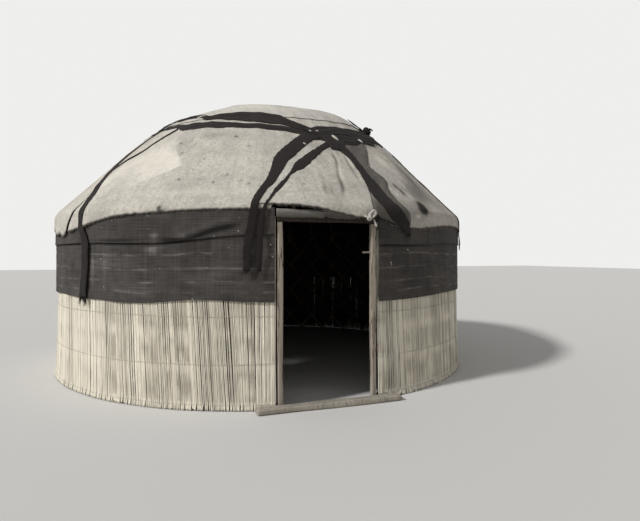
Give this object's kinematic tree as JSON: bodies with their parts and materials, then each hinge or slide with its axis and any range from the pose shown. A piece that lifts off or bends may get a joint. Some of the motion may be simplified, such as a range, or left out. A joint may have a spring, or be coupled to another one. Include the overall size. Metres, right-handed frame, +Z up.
{
  "type": "felt yurt",
  "caption": "Small domed nomad felt tent with a lattice wall, reed screens, dark wool wall cloth, pale roof felts and woven straps, open doorway.",
  "frame": {"origin": "on the ground at the middle of the round room", "axes": "+Z up, the doorway faces -Y"},
  "size_m": [4.7048, 4.7619, 3.0458],
  "materials": {
    "lattice_wood": "oiled and smoke-darkened willow laths",
    "pole_wood": "peeled and smoke-darkened poles",
    "crown_wood": "bent wood, smoke-darkened",
    "door_wood": "sun-bleached bare wood",
    "reeds": "dry reed stems bound with twine, matt",
    "dark_wool": "dark sheep's wool cloth, matt",
    "roof_felt": "pale weathered felt, matt",
    "cover_felt": "pale weathered felt, matt",
    "woven_strap": "dark woven wool strap, matt",
    "flap_felt": "pale felt, rolled, matt"
  },
  "bodies": {
    "root": {"lattice_section_1": "lattice_wood", "lattice_section_2": "lattice_wood", "lattice_section_3": "lattice_wood", "lattice_section_4": "lattice_wood", "lattice_section_5": "lattice_wood", "lattice_section_6": "lattice_wood", "lattice_section_7": "lattice_wood", "lattice_section_8": "lattice_wood", "lattice_section_9": "lattice_wood", "roof_poles_door": "pole_wood", "roof_poles_right": "pole_wood", "roof_poles_back": "pole_wood", "roof_poles_left": "pole_wood", "crown_ring": "crown_wood", "crown_ribs_upper": "crown_wood", "crown_ribs_lower": "crown_wood", "door_jamb_left": "door_wood", "door_jamb_right": "door_wood", "door_lintel": "door_wood", "threshold": "door_wood", "reed_screen_1": "reeds", "reed_screen_2": "reeds", "reed_screen_3": "reeds", "reed_screen_4": "reeds", "reed_screen_5": "reeds", "wall_cloth_1": "dark_wool", "wall_cloth_2": "dark_wool", "wall_cloth_3": "dark_wool", "wall_cloth_4": "dark_wool", "roof_felt_door": "roof_felt", "roof_felt_front_left": "roof_felt", "roof_felt_front_right": "roof_felt", "roof_felt_back_left": "roof_felt", "roof_felt_back_right": "roof_felt", "crown_cover": "cover_felt", "crown_band_upper": "woven_strap", "crown_band_lower": "woven_strap", "strap_front_left_wide": "woven_strap", "strap_front_left_narrow": "woven_strap", "strap_front_right": "woven_strap", "strap_left_edge": "woven_strap", "strap_right_edge": "woven_strap", "strap_back": "woven_strap", "door_flap": "flap_felt", "felt_knot": "flap_felt"}
  },
  "joints": []
}
